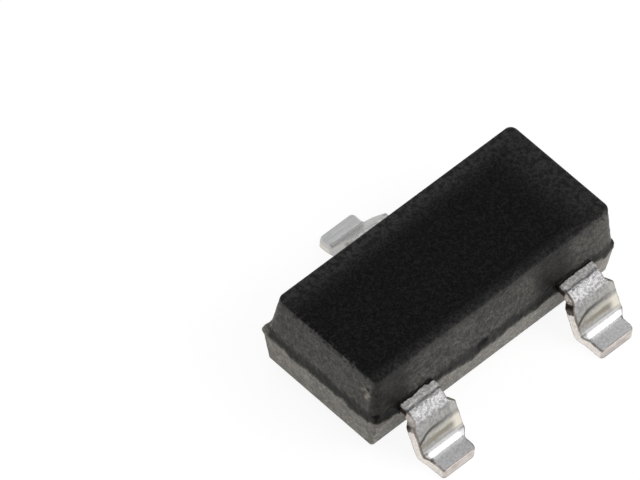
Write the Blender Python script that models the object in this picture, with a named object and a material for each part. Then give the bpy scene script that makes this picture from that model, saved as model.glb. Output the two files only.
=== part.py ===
"""Switching diode in a three-lead moulded surface-mount package.

A stamped lead frame carries the silicon chip, one gold wire joins the chip to its anode lead,
and an epoxy body with drafted halves is moulded round them. Metres, +Z up: the soles of the
leads stand on Z = 0, the body's length runs along X, and the side with two leads faces -Y.
"""

import math

import bmesh
import bpy
from mathutils import Vector

MM = 0.001

# Moulded body, measured at the parting plane between its two halves
BODY_LENGTH = 2.89 * MM
BODY_WIDTH = 1.37 * MM
STANDOFF = 0.095 * MM
LOWER_HEIGHT = 0.31 * MM
UPPER_HEIGHT = 0.543 * MM
LOWER_END_DRAFT = math.radians(6.4)
LOWER_SIDE_DRAFT = math.radians(10.0)
UPPER_END_DRAFT = math.radians(4.8)
UPPER_SIDE_DRAFT = math.radians(8.6)
LOWER_CORNER_RADIUS = 0.035 * MM
UPPER_CORNER_RADIUS = 0.068 * MM
TOP_EDGE_RADIUS = 0.028 * MM
BOTTOM_EDGE_RADIUS = 0.015 * MM
FLASH_LEDGE = 0.009 * MM         # how far the parting flash stands out past the upper wall
FLASH_HEIGHT = 0.05 * MM
CORNER_FLASH_HEIGHT = 0.10 * MM  # it climbs higher up the vertical corners and squares them

# Lead frame: the sheet and the outline that is stamped from it
SHEET = 0.107 * MM
LEAD_PITCH = 0.95 * MM           # from the body's middle to each lead of the two-lead side
OVERALL_WIDTH = 2.50 * MM        # toe to toe
EXIT_WIDTH = 0.42 * MM
EXIT_LENGTH = 0.065 * MM
NECK_WIDTH = 0.40 * MM
NECK_LENGTH = 0.195 * MM         # from the body to the dambar
DAMBAR_WIDTH = 0.495 * MM        # across the stubs that the trimming punch leaves
FOOT_WIDTH = 0.415 * MM
FOOT_LENGTH = 0.20 * MM          # from the toe back to where the lead starts to widen
FOOT_TAPER = 0.055 * MM          # length over which it widens to the dambar stubs
TOE_CORNER_RADIUS = 0.035 * MM
STAMPED_STEP = 0.025 * MM        # length of the slanted step between two widths
EDGE_ROLL = 0.022 * MM           # the punch rolls the upper edges of the sheet

# Gull-wing forming of each lead
BEND_START = 0.05 * MM           # flat that the forming tool clamps, from the body outwards
BEND_ANGLE = math.radians(62.0)
SHOULDER_RADIUS = 0.07 * MM      # inside radius, under the shoulder
HEEL_RADIUS = 0.12 * MM          # inside radius, on top of the heel
CLAMP_MARK_PLACE = 0.085 * MM    # from the body, just past the start of the bend
CLAMP_MARK_LENGTH = 0.036 * MM
CLAMP_MARK_DEPTH = 0.010 * MM

# Frame parts inside the body
PADDLE_LENGTH = 0.90 * MM        # along X
PADDLE_WIDTH = 0.68 * MM         # along Y
PADDLE_SHIFT = 0.06 * MM         # from the body's middle towards the lone lead
POST_GAP = 0.24 * MM             # from the paddle to each wire post
POST_DEPTH = 0.38 * MM           # from the body wall to the post's inner end
HEAD_DEPTH = 0.24 * MM           # length of the post's wide inner head
WAIST_WIDTH = 0.28 * MM          # the narrow part that the compound grips
END_COVER = 0.20 * MM            # compound left outside the post's head
PLAN_CORNER_RADIUS = 0.05 * MM

# Chip, its die attach and its bond wire
CHIP_SIDE = 0.30 * MM
CHIP_HEIGHT = 0.11 * MM
CHIP_CORNER_RADIUS = 0.008 * MM
PAD_DIAMETER = 0.15 * MM
PAD_HEIGHT = 0.008 * MM
ATTACH_HEIGHT = 0.018 * MM
ATTACH_SPREAD = 0.03 * MM        # how far the die attach spreads past the chip at its foot
ATTACH_SHOULDER = 0.006 * MM     # and at its top
WIRE_DIAMETER = 0.025 * MM
BALL_DIAMETER = 0.075 * MM
BALL_HEIGHT = 0.022 * MM
LOOP_RISE = 0.19 * MM            # how far the wire leaves the ball straight up before it turns over
LOOP_APPROACH = 0.10 * MM        # height above the ball from which it comes down to the post
STITCH_WIDTH = 0.055 * MM
STITCH_HEIGHT = 0.008 * MM
STITCH_LENGTH = 0.07 * MM
STITCH_PLACE = 0.5               # share of the way across the post's head

# Clearances: the pieces are separate solids that all but touch
MOULD_GAP = 0.003 * MM           # between the compound and what it is moulded round
SEAT_GAP = 0.002 * MM            # between the frame, the die attach, the chip and the wire

CORNER_STEPS = 6
EDGE_STEPS = 3
BEND_STEPS = 8
BALL_STEPS = 6
LOOP_STEPS = 18
STITCH_STEPS = 4
WIRE_SIDES = 10

PARTING_Z = STANDOFF + LOWER_HEIGHT
BODY_TOP_Z = PARTING_Z + UPPER_HEIGHT
BODY_WALL = BODY_WIDTH / 2
FRAME_MID_Z = PARTING_Z + SHEET / 2
FRAME_TOP_Z = PARTING_Z + SHEET
ATTACH_Z = FRAME_TOP_Z + SEAT_GAP
CHIP_Z = ATTACH_Z + ATTACH_HEIGHT + SEAT_GAP
CHIP_TOP_Z = CHIP_Z + CHIP_HEIGHT
BALL_Z = CHIP_TOP_Z + PAD_HEIGHT + SEAT_GAP


def clear_scene():
    for old in list(bpy.data.objects):
        bpy.data.objects.remove(old, do_unlink=True)


def finish(name, colour, roughness, metallic):
    made = bpy.data.materials.new(name)
    made.use_nodes = True
    shader = made.node_tree.nodes["Principled BSDF"]
    shader.inputs["Base Color"].default_value = (*colour, 1.0)
    shader.inputs["Roughness"].default_value = roughness
    shader.inputs["Metallic"].default_value = metallic
    return made


def loft(name, rings):
    """One closed solid through a row of rings that all have the same number of points."""
    shape = bmesh.new()
    rows = [[shape.verts.new(point) for point in ring] for ring in rings]
    count = len(rows[0])
    for before, behind in zip(rows, rows[1:]):
        for index in range(count):
            after = (index + 1) % count
            shape.faces.new((before[index], before[after], behind[after], behind[index]))
    shape.faces.new(list(reversed(rows[0])))
    shape.faces.new(rows[-1])
    bmesh.ops.recalc_face_normals(shape, faces=shape.faces)
    mesh = bpy.data.meshes.new(name)
    shape.to_mesh(mesh)
    shape.free()
    return mesh


def place(name, mesh, coat, parent, location=(0.0, 0.0, 0.0), turn=0.0):
    mesh.materials.append(coat)
    mesh.shade_smooth()
    mesh.set_sharp_from_angle(angle=math.radians(35))
    piece = bpy.data.objects.new(name, mesh)
    bpy.context.collection.objects.link(piece)
    piece.parent = parent
    piece.location = location
    piece.rotation_euler.z = turn
    return piece


def rounded_rectangle(half_x, half_y, radius, z, centre=(0.0, 0.0)):
    """Ring of points round a rectangle with round corners, anticlockwise from above."""
    ring = []
    for quarter, (side_x, side_y) in enumerate(((1, 1), (-1, 1), (-1, -1), (1, -1))):
        for step in range(CORNER_STEPS + 1):
            angle = math.pi / 2 * (quarter + step / CORNER_STEPS)
            x = side_x * (half_x - radius) + radius * math.cos(angle)
            y = side_y * (half_y - radius) + radius * math.sin(angle)
            ring.append(Vector((centre[0] + x, centre[1] + y, z)))
    return ring


def quarter_round(radius):
    """Setback from the end and from the side of each point on a round corner, end first."""
    points = []
    for step in range(EDGE_STEPS + 1):
        angle = math.pi / 2 * step / EDGE_STEPS
        points.append((radius * (1 - math.cos(angle)), radius * (1 - math.sin(angle))))
    return points


# Moulded body

def lower_wall(z):
    fall = PARTING_Z - z
    return (BODY_LENGTH / 2 - fall * math.tan(LOWER_END_DRAFT),
            BODY_WALL - fall * math.tan(LOWER_SIDE_DRAFT))


def upper_wall(z):
    rise = z - PARTING_Z
    return (BODY_LENGTH / 2 - FLASH_LEDGE - rise * math.tan(UPPER_END_DRAFT),
            BODY_WALL - FLASH_LEDGE - rise * math.tan(UPPER_SIDE_DRAFT))


def body_rings():
    """Rings from the underside to the top, with the flash of the parting line between them."""
    rings = []
    for up, inset in quarter_round(BOTTOM_EDGE_RADIUS):
        z = STANDOFF + up
        half_x, half_y = lower_wall(z)
        rings.append(rounded_rectangle(half_x - inset, half_y - inset, LOWER_CORNER_RADIUS, z))
    rings.append(rounded_rectangle(*lower_wall(PARTING_Z), LOWER_CORNER_RADIUS, PARTING_Z))
    for step in range(1, EDGE_STEPS + 1):
        share = step / EDGE_STEPS
        z = PARTING_Z + FLASH_HEIGHT * share
        flare = FLASH_LEDGE * (1 - math.sin(share * math.pi / 2))
        half_x, half_y = upper_wall(z)
        rings.append(rounded_rectangle(half_x + flare, half_y + flare, LOWER_CORNER_RADIUS, z))
    corner_top = PARTING_Z + CORNER_FLASH_HEIGHT
    rings.append(rounded_rectangle(*upper_wall(corner_top), UPPER_CORNER_RADIUS, corner_top))
    for down, inset in reversed(quarter_round(TOP_EDGE_RADIUS)):
        z = BODY_TOP_Z - down
        half_x, half_y = upper_wall(z)
        rings.append(rounded_rectangle(half_x - inset, half_y - inset, UPPER_CORNER_RADIUS, z))
    return rings


def mould_round(body, piece):
    """Cuts the pocket that the compound leaves round a piece, a hair larger than the piece."""
    pocket = bpy.data.objects.new(piece.name + "_pocket", piece.data.copy())
    bpy.context.collection.objects.link(pocket)
    pocket.parent = piece.parent
    pocket.location = piece.location
    pocket.rotation_euler = piece.rotation_euler
    pocket.hide_render = True
    pocket.display_type = "WIRE"
    shape = bmesh.new()
    shape.from_mesh(pocket.data)
    shape.normal_update()
    moves = [vert.normal * MOULD_GAP * vert.calc_shell_factor() for vert in shape.verts]
    for vert, move in zip(shape.verts, moves):
        vert.co += move
    shape.to_mesh(pocket.data)
    shape.free()
    cut = body.modifiers.new(pocket.name, "BOOLEAN")
    cut.object = pocket
    cut.operation = "DIFFERENCE"
    cut.solver = "EXACT"
    return pocket


# Stamped and formed leads. In a lead's own frame +Y points outwards and X = 0 is its middle.

def forming():
    """Mid-sheet bend radii, and the distances from the body at which each bend ends."""
    shoulder = SHOULDER_RADIUS + SHEET / 2
    heel = HEEL_RADIUS + SHEET / 2
    drop = PARTING_Z - (shoulder + heel) * (1 - math.cos(BEND_ANGLE))
    leg = drop / math.sin(BEND_ANGLE)
    reach = BODY_WALL + BEND_START + (shoulder + heel) * math.sin(BEND_ANGLE) + leg * math.cos(BEND_ANGLE)
    shoulder_end = BEND_START + shoulder * BEND_ANGLE
    leg_end = shoulder_end + leg
    heel_end = leg_end + heel * BEND_ANGLE
    toe = heel_end + OVERALL_WIDTH / 2 - reach
    return shoulder, heel, shoulder_end, leg_end, heel_end, toe


def formed_point(distance):
    """Reach, height and downward tilt of the mid-sheet at a distance from the body wall."""
    shoulder, heel, shoulder_end, leg_end, heel_end, toe = forming()
    bent = min(max(distance - BEND_START, 0.0) / shoulder, BEND_ANGLE)
    along = min(max(distance - shoulder_end, 0.0), leg_end - shoulder_end)
    tilt = bent - min(max(distance - leg_end, 0.0) / heel, BEND_ANGLE)
    flat = min(distance, BEND_START) + max(distance - heel_end, 0.0)
    reach = BODY_WALL + flat + shoulder * math.sin(bent) + along * math.cos(BEND_ANGLE)
    z = FRAME_MID_Z - shoulder * (1 - math.cos(bent)) - along * math.sin(BEND_ANGLE)
    if distance > leg_end:
        reach += heel * (math.sin(BEND_ANGLE) - math.sin(tilt))
        z -= heel * (math.cos(tilt) - math.cos(BEND_ANGLE))
    return reach, z, tilt


def outer_outline():
    """The lead outside the body: distance from the body, and half width to each side."""
    toe = forming()[-1]
    outline = [(0.0, EXIT_WIDTH / 2), (EXIT_LENGTH, EXIT_WIDTH / 2),
               (EXIT_LENGTH + STAMPED_STEP / 2, NECK_WIDTH / 2), (NECK_LENGTH, NECK_WIDTH / 2),
               (NECK_LENGTH + STAMPED_STEP, DAMBAR_WIDTH / 2),
               (toe - FOOT_LENGTH - FOOT_TAPER, DAMBAR_WIDTH / 2),
               (toe - FOOT_LENGTH, FOOT_WIDTH / 2)]
    toe_corner = reversed(quarter_round(TOE_CORNER_RADIUS))
    outline += [(toe - back, FOOT_WIDTH / 2 - cut) for back, cut in toe_corner]
    return [(distance, half, half) for distance, half in outline]


def post_outline():
    """Wire post at the inner end of a lead of the two-lead side, wider towards the body's end."""
    towards_end = BODY_LENGTH / 2 - END_COVER - LEAD_PITCH
    towards_paddle = LEAD_PITCH - POST_GAP - PADDLE_LENGTH / 2
    waist = WAIST_WIDTH / 2
    outline = [(back - POST_DEPTH, towards_end - cut, towards_paddle - cut)
               for back, cut in quarter_round(PLAN_CORNER_RADIUS)]
    outline += [(HEAD_DEPTH - POST_DEPTH, towards_end, towards_paddle),
                (HEAD_DEPTH - POST_DEPTH + STAMPED_STEP, waist, waist),
                (-EXIT_LENGTH - STAMPED_STEP, waist, waist),
                (-EXIT_LENGTH, EXIT_WIDTH / 2, EXIT_WIDTH / 2)]
    return outline


def paddle_outline():
    """Paddle for the chip at the inner end of the lone lead."""
    near = PADDLE_SHIFT + PADDLE_WIDTH / 2 - BODY_WALL
    far = near - PADDLE_WIDTH
    corner = quarter_round(PLAN_CORNER_RADIUS)
    outline = [(far + back, PADDLE_LENGTH / 2 - cut) for back, cut in corner]
    outline += [(near - back, PADDLE_LENGTH / 2 - cut) for back, cut in reversed(corner)]
    outline += [(near + STAMPED_STEP, WAIST_WIDTH / 2), (-EXIT_LENGTH - STAMPED_STEP, WAIST_WIDTH / 2),
                (-EXIT_LENGTH, EXIT_WIDTH / 2)]
    return [(distance, half, half) for distance, half in outline]


def half_widths(outline, distance):
    for (start, *first), (end, *last) in zip(outline, outline[1:]):
        if start <= distance <= end:
            share = (distance - start) / (end - start)
            return [a + (b - a) * share for a, b in zip(first, last)]
    return list(outline[-1][1:])


def stations(outline):
    """Distances at which the lead has a ring: the outline's corners, the bends, the clamp mark."""
    shoulder, heel, shoulder_end, leg_end, heel_end, toe = forming()
    kept = [row[0] for row in outline]
    kept += [CLAMP_MARK_PLACE + CLAMP_MARK_LENGTH * share for share in (-0.5, 0.0, 0.5)]
    extra = []
    for start, end in ((BEND_START, shoulder_end), (leg_end, heel_end)):
        extra += [start + (end - start) * step / BEND_STEPS for step in range(BEND_STEPS + 1)]
    closest = EXIT_LENGTH / 20
    for distance in extra:
        if all(abs(distance - other) > closest for other in kept):
            kept.append(distance)
    return sorted(kept)


def lead_ring(outline, distance):
    """Section of the sheet: rolled edges above, sharp ones below, a shallow tool mark on top."""
    reach, z, tilt = formed_point(distance)
    left, right = half_widths(outline, distance)
    mark = max(0.0, 1 - abs(distance - CLAMP_MARK_PLACE) / (CLAMP_MARK_LENGTH / 2))
    top = SHEET / 2 - CLAMP_MARK_DEPTH * mark
    roll = quarter_round(EDGE_ROLL)
    section = [(-left, -SHEET / 2), (right, -SHEET / 2)]
    section += [(right - side, top - down) for side, down in roll]
    section += [(side - left, top - down) for side, down in reversed(roll)]
    return [Vector((across, reach + up * math.sin(tilt), z + up * math.cos(tilt))) for across, up in section]


def lead_mesh(name, inner):
    outline = inner + outer_outline()
    return loft(name, [lead_ring(outline, distance) for distance in stations(outline)])


def mirrored(outline):
    return [(distance, right, left) for distance, left, right in outline]


# Chip, die attach and wire

def chip_mesh(centre):
    """Chip with its raised metal contact, one ring of steps up to the contact's rim."""
    half = CHIP_SIDE / 2
    rim = PAD_DIAMETER / 2
    corner = CHIP_CORNER_RADIUS
    rings = [rounded_rectangle(half, half, corner, CHIP_Z, centre),
             rounded_rectangle(half, half, corner, CHIP_TOP_Z, centre),
             rounded_rectangle(rim, rim, rim, CHIP_TOP_Z, centre),
             rounded_rectangle(rim, rim, rim, CHIP_TOP_Z + PAD_HEIGHT, centre)]
    return loft("diode_die", rings)


def attach_mesh(centre):
    foot = CHIP_SIDE / 2 + ATTACH_SPREAD
    top = CHIP_SIDE / 2 + ATTACH_SHOULDER
    rings = [rounded_rectangle(foot, foot, ATTACH_SPREAD, ATTACH_Z, centre),
             rounded_rectangle(top, top, ATTACH_SPREAD, ATTACH_Z + ATTACH_HEIGHT, centre)]
    return loft("die_attach", rings)


def stitch_place():
    """Where the wire lands on the head of the anode post."""
    inner = PADDLE_LENGTH / 2 + POST_GAP
    outer = BODY_LENGTH / 2 - END_COVER
    x = -(inner + (outer - inner) * STITCH_PLACE)
    y = -(BODY_WALL - POST_DEPTH + HEAD_DEPTH / 2)
    return x, y


def wire_mesh(centre):
    """Ball on the chip's contact, a loop, and a flattened stitch on the post."""
    ball = Vector((*centre, BALL_Z))
    landing = Vector((*stitch_place(), FRAME_TOP_Z + SEAT_GAP))
    heading = Vector((landing.x - ball.x, landing.y - ball.y, 0.0)).normalized()
    across = Vector((-heading.y, heading.x, 0.0))
    up = Vector((0.0, 0.0, 1.0))
    thin = WIRE_DIAMETER / 2
    rows = []
    for step in range(BALL_STEPS):
        share = step / BALL_STEPS
        radius = max(thin, BALL_DIAMETER / 2 * math.sin(math.pi * (0.25 + 0.75 * share)))
        rows.append((ball + up * BALL_HEIGHT * share, up, radius, radius))
    start = ball + up * BALL_HEIGHT
    end = landing - heading * STITCH_LENGTH + up * thin
    controls = (start, start + up * LOOP_RISE,
                Vector((end.x, end.y, start.z + LOOP_APPROACH)) - heading * LOOP_APPROACH, end)
    for step in range(LOOP_STEPS):
        share = step / LOOP_STEPS
        rest = 1 - share
        weights = (rest ** 3, 3 * rest ** 2 * share, 3 * rest * share ** 2, share ** 3)
        point = sum((control * weight for control, weight in zip(controls, weights)), Vector())
        slopes = (3 * rest ** 2, 6 * rest * share, 3 * share ** 2)
        legs = [after - before for before, after in zip(controls, controls[1:])]
        tangent = sum((leg * slope for leg, slope in zip(legs, slopes)), Vector()).normalized()
        rows.append((point, tangent, thin, thin))
    for step in range(STITCH_STEPS + 1):
        share = step / STITCH_STEPS
        wide = thin + (STITCH_WIDTH / 2 - thin) * share
        high = thin + (STITCH_HEIGHT / 2 - thin) * share
        point = landing - heading * STITCH_LENGTH * (1 - share) + up * high
        rows.append((point, heading, wide, high))
    rings = []
    for point, tangent, wide, high in rows:
        normal = across.cross(tangent)
        turns = [math.tau * side / WIRE_SIDES for side in range(WIRE_SIDES)]
        rings.append([point + across * (wide * math.cos(turn)) + normal * (high * math.sin(turn))
                      for turn in turns])
    return loft("bond_wire", rings)


def main():
    clear_scene()
    package = bpy.data.objects.new("package", None)
    bpy.context.collection.objects.link(package)

    compound = finish("black_epoxy", (0.012, 0.012, 0.013), 0.62, 0.0)
    tin = finish("matte_tin", (0.58, 0.58, 0.57), 0.38, 1.0)
    silicon = finish("silicon", (0.09, 0.10, 0.13), 0.25, 0.6)
    silver_epoxy = finish("silver_epoxy", (0.55, 0.54, 0.50), 0.5, 0.8)
    gold = finish("gold", (0.90, 0.66, 0.25), 0.25, 1.0)

    body = place("moulded_body", loft("moulded_body", body_rings()), compound, package)
    outwards = math.pi
    chip_centre = (0.0, PADDLE_SHIFT)
    inner_pieces = [
        place("cathode_lead", lead_mesh("cathode_lead", paddle_outline()), tin, package),
        place("anode_lead", lead_mesh("anode_lead", mirrored(post_outline())), tin, package,
              (-LEAD_PITCH, 0.0, 0.0), outwards),
        place("spare_lead", lead_mesh("spare_lead", post_outline()), tin, package,
              (LEAD_PITCH, 0.0, 0.0), outwards),
        place("die_attach", attach_mesh(chip_centre), silver_epoxy, package),
        place("diode_die", chip_mesh(chip_centre), silicon, package),
        place("bond_wire", wire_mesh(chip_centre), gold, package),
    ]
    for piece in inner_pieces:
        mould_round(body, piece)


main()
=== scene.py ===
from functools import partial
from math import copysign, cos, exp, pi, radians, sin, sqrt, tan

import bmesh
import bpy
from bpy.props import FloatProperty, FloatVectorProperty, IntProperty, PointerProperty
from mathutils import Matrix, Vector, noise


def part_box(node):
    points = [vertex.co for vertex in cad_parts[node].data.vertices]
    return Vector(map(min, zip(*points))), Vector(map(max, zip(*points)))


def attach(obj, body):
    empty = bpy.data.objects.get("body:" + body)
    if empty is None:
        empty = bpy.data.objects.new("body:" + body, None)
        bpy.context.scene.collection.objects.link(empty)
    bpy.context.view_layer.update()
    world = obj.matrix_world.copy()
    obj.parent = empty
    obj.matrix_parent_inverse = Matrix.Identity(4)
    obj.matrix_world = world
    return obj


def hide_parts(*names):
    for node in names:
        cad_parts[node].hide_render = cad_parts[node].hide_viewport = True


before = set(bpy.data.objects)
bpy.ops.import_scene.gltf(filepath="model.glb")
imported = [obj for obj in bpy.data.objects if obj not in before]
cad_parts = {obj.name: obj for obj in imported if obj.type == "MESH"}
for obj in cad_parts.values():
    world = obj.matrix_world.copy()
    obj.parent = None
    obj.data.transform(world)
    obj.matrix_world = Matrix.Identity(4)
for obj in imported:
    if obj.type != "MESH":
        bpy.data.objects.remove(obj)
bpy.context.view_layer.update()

bl_info = {
    "name": "Moulded Switching Diode",
    "version": (1, 0, 0),
    "blender": (4, 5, 0),
    "location": "3D View > Sidebar > Diode",
    "description": "Dresses the packed diode: textured epoxy body, formed tin-plated leads and a pale studio",
    "category": "Object",
}

MM = 0.001
BODY_LOW, BODY_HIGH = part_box("moulded_body")
LONE_LOW, LONE_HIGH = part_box("cathode_lead")
ANODE_LOW, ANODE_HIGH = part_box("anode_lead")
SPARE_LOW, SPARE_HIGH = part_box("spare_lead")
LEAD_TOP_Z = ANODE_HIGH.z
BOX_MARGIN = 0.0004 * MM  # how far the finished leads stay inside the solids
CORNERS = ((1, 1), (-1, 1), (-1, -1), (1, -1))

# Body: levels of its rings, as shares of the lower wall and in millimetres from the parting and inwards
LOWER_LEVELS = (0.15, 0.3, 0.45, 0.6, 0.75, 0.86)
FLASH_LEVELS = (-0.03, -0.016, -0.008, -0.003, 0.0, 0.003, 0.007, 0.012, 0.019, 0.028, 0.039, 0.052,
                0.066, 0.08, 0.094, 0.108, 0.122, 0.14)
TOP_LEVELS = (0.045, 0.075, 0.12, 0.18, 0.26, 0.35, 0.45, 0.56)
FIN_CORNER, CHIPPED_CORNER = 1, 3
CORNER_BUMPS = (0.2, 0.0, 0.2, 0.35)  # share of the flash bump at each corner
CORNER_WANDER = (0.0, 0.02, 0.028, 0.045)  # millimetres by which the flash climbs at each corner
PIT_STEP = (0.0135, 0.051)  # millimetres aside and above from the crumb to its pit
NOTCH_STRETCH = 2  # how many times longer than high the notch is

# Leads: the parts of the blanks inside the body
HALF_PITCH = 0.95 * MM
WAIST = 0.14 * MM  # half width where the compound grips the lead
WAIST_STEP = 0.025 * MM
WAIST_END = 0.09 * MM
POST_LENGTH = 0.24 * MM
PADDLE_EDGE = 0.40 * MM
BLUNT_CORNER = ((0.0, 0.05), (0.015, 0.015), (0.05, 0.0))  # millimetres along and inwards
FORMING_INPUTS = ("Body wall", "Middle height", "Bend start", "Bend angle", "Shoulder radius", "Heel radius",
                  "Leg length", "Grain depth", "Grain size", "Grain start")

# Places along the flat lead, in millimetres from the body
SHOULDER, LEG, HEEL = (0.1, 0.2), (0.2, 0.49), (0.5, 0.57)

# Stage
WHITE = (1.0, 1.0, 1.0, 1.0)
SEEN_FLOOR_SHADE = (0.17, 0.17, 0.17)  # what the camera sees of the part's shadow
SEEN_FLOOR_GLOW = 0.895
FLOOR_DROP = 0.002 * MM
PART_MIDDLE = Vector((0.0, 0.0, 0.45 * MM))
VIEW_LEFT, VIEW_UP = 1.031 * MM, 0.406 * MM  # from the part's middle to the middle of the picture


def length(name, description, size, high=0.004):
    """Size given in millimetres, and kept and limited in metres."""
    return FloatProperty(name=name, description=description, default=size * MM, min=0.0, max=high,
                         precision=6, unit="LENGTH")


def angle(name, description, degrees):
    return FloatProperty(name=name, description=description, default=radians(degrees),
                         min=0.0, max=pi / 2, subtype="ANGLE", unit="ROTATION")


def colour(name, description, default):
    return FloatVectorProperty(name=name, description=description, default=default, size=3,
                               min=0.0, max=1.0, subtype="COLOR")


def position(name, description, place):
    return FloatVectorProperty(name=name, description=description, size=3, precision=6,
                               default=[part * MM for part in place], subtype="TRANSLATION", unit="LENGTH")


def amount(name, description, default, high):
    return FloatProperty(name=name, description=description, default=default, min=0.0, max=high)


class BodyLook(bpy.types.PropertyGroup):
    parting_height: length("Parting height", "Where the two halves of the mould meet", 0.405)
    upper_end_draft: angle("Upper end draft", "Slope of the short walls above the parting", 3.75)
    upper_side_draft: angle("Upper side draft", "Slope of the long walls above the parting", 7.46)
    lower_end_draft: angle("Lower end draft", "Slope of the short walls below the parting", 5.3)
    lower_side_draft: angle("Lower side draft", "Slope of the long walls below the parting", 9.0)
    upper_corner: length("Upper corner radius", "Round of the upright corners near the top", 0.068)
    lower_corner: length("Lower corner radius", "Round of the upright corners near the parting", 0.03)
    top_edge: length("Top edge radius", "Round of the edge of the top face", 0.018)
    bottom_edge: length("Bottom edge radius", "Round of the edge of the underside", 0.010)
    flash_ledge: length("Flash ledge", "How far the parting flash stands out", 0.007)
    flash_height: length("Flash height", "How far up the wall the flash fades out", 0.09)
    flash_wander: length("Flash wander", "How far the broken edge of the flash wanders", 0.06)
    corner_flash: length("Corner flash", "How far the torn fin stands out at one corner", 0.036)
    corner_bump: length("Corner bump", "How far the flash stands out at the other corners", 0.012)
    spacing: length("Mesh spacing", "Distance between points along the walls", 0.014)
    # The top colour is darker and the lower wall colour lighter than the compound itself: painted shade on
    # the top face, painted reflection of the pale floor on the lower walls.
    top_colour: colour("Top colour", "Epoxy on the top face", (0.0051, 0.0050, 0.0056))
    wall_colour: colour("Wall colour", "Epoxy on the upper walls", (0.052, 0.049, 0.043))
    lower_colour: colour("Lower wall colour", "Epoxy below the parting", (0.198, 0.184, 0.160))
    # The flash colour is partly resin-rich compound and partly painted shade in the hollow above the flash.
    flash_and_shade_colour: colour("Flash colour", "Resin-rich band above the parting, partly painted shade", (0.0068, 0.0064, 0.0058))
    # The wall above the paired leads is darkened with painted shade, where the leads hide the pale floor from
    # the wall.
    lead_shade_colour: colour("Lead shade colour", "Painted shade above the paired leads", (0.0032, 0.0031, 0.0026))
    crumb_colour: colour("Crumb colour", "Pale crumb of filler where the wall is chipped", (0.30, 0.27, 0.23))
    crumb_place: position("Crumb place", "Where the chipped spot is", (-1.41, -0.542, 0.731))
    crumb_size: length("Crumb size", "Across the chipped spot", 0.060)
    fin_place: position("Fin place", "Middle of the torn corner fin", (-1.43, 0.70, 0.468))
    notch_place: position("Notch place", "Where the flash is torn out", (-0.16, -0.667, 0.487))
    notch_size: length("Notch size", "Height of the torn-out spot, half its length", 0.045)
    grain: length("Grain depth", "Depth of the spark-eroded texture", 0.0035)


class LeadLook(bpy.types.PropertyGroup):
    sheet: length("Sheet", "Thickness of the lead frame", 0.107)
    exit_width: length("Exit width", "Width where the lead leaves the body", 0.392)
    exit_length: length("Exit length", "Length of that strip", 0.06)
    neck_width: length("Neck width", "Width between the body and the dambar", 0.40)
    neck_length: length("Neck length", "Distance from the body to the dambar", 0.150)
    dambar_width: length("Dambar width", "Width across the stubs left by the trimming punch", 0.50)
    dambar_slant: length("Dambar slant", "Length over which the neck widens to the stubs", 0.08)
    foot_width: length("Foot width", "Width of the foot", 0.402)
    foot_length: length("Foot length", "From the toe to where the lead widens", 0.14)
    foot_taper: length("Foot taper", "Length over which the lead widens", 0.13)
    toe_corner: length("Toe corner radius", "Round of one corner of the toe", 0.032)
    far_corner: length("Far toe corner radius", "Round of the other corner of the toe", 0.058)
    edge_roll: length("Edge roll", "Round that the punch leaves on the upper edges", 0.022)
    toe_roll: length("Toe roll", "Round of the toe's upper edge", 0.02)
    burr: length("Burr", "Round of the lower edges", 0.006)
    exit_shift: length("Exit shift", "Sideways shift of the strip at the body", 0.010)
    neck_shift: length("Neck shift", "Sideways shift of the neck against the stubs", 0.020)
    stub_shift: length("Stub shift", "Half of what the lone lead's larger stub has more", 0.014)
    foot_shift: length("Foot shift", "Sideways shift of the foot against the stubs", 0.003)
    lone_neck: length("Lone neck length", "Distance from the body to the dambar on the lone lead", 0.200)
    lone_slant: length("Lone slant", "Length over which the lone lead widens to its stubs", 0.08)
    lone_foot: length("Lone foot length", "From the toe to where the lone lead widens", 0.170)
    lone_taper: length("Lone foot taper", "Length over which the lone lead widens", 0.065)
    lone_angle: angle("Lone bend angle", "Slope of the lone lead's leg", 55.0)
    bend_start: length("Bend start", "Flat length outside the body", 0.05)
    bend_angle: angle("Bend angle", "Slope of the leg", 62.0)
    shoulder_radius: length("Shoulder radius", "Inside radius of the upper bend", 0.07)
    heel_radius: length("Heel radius", "Inside radius of the lower bend", 0.12)
    mark_place: length("Clamp mark place", "Distance from the body", 0.073)
    mark_length: length("Clamp mark length", "Width of the groove", 0.036)
    mark_depth: length("Clamp mark depth", "Depth of the groove", 0.005)
    wipe_place: length("Wipe mark place", "Where the forming punch first touches the leg", 0.298)
    wipe_sweep: length("Wipe mark sweep", "How far that line runs down at one edge", 0.08)
    grain_depth: length("Grain depth", "Orange peel of the stretched plating", 0.009)
    grain_size: length("Grain size", "Size of the orange peel", 0.026)
    spacing: length("Mesh spacing", "Distance between rings along the lead", 0.0075)
    columns: IntProperty(name="Columns", description="Faces across the lead", default=44, min=8, max=100)
    tin_colour: colour("Tin colour", "Matte tin plating", (0.80, 0.79, 0.80))
    # The leg colour is painted reflection, darker than the tin.
    leg_reflection_colour: colour("Leg colour", "Painted dark reflection on the leg", (0.42, 0.415, 0.405))
    cut_colour: colour("Cut colour", "Bare copper alloy of the trimmed faces", (0.84, 0.765, 0.72))
    wipe_colour: colour("Wipe colour", "Dark line where the punch touches", (0.10, 0.095, 0.08))
    # The brown and cream colours of the leg are painted reflections.
    brown_reflection_colour: colour("Brown reflection colour", "Painted brown reflection on the leg", (0.30, 0.265, 0.205))
    cream_reflection_colour: colour("Cream colour", "Painted cream reflection on the leg", (0.66, 0.625, 0.54))


class InnerLook(bpy.types.PropertyGroup):
    silicon_colour: colour("Silicon colour", "Sawn chip", (0.10, 0.11, 0.14))
    attach_colour: colour("Attach colour", "Silver-filled adhesive", (0.56, 0.54, 0.50))
    gold_colour: colour("Gold colour", "Bond wire", (0.92, 0.66, 0.26))


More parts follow.
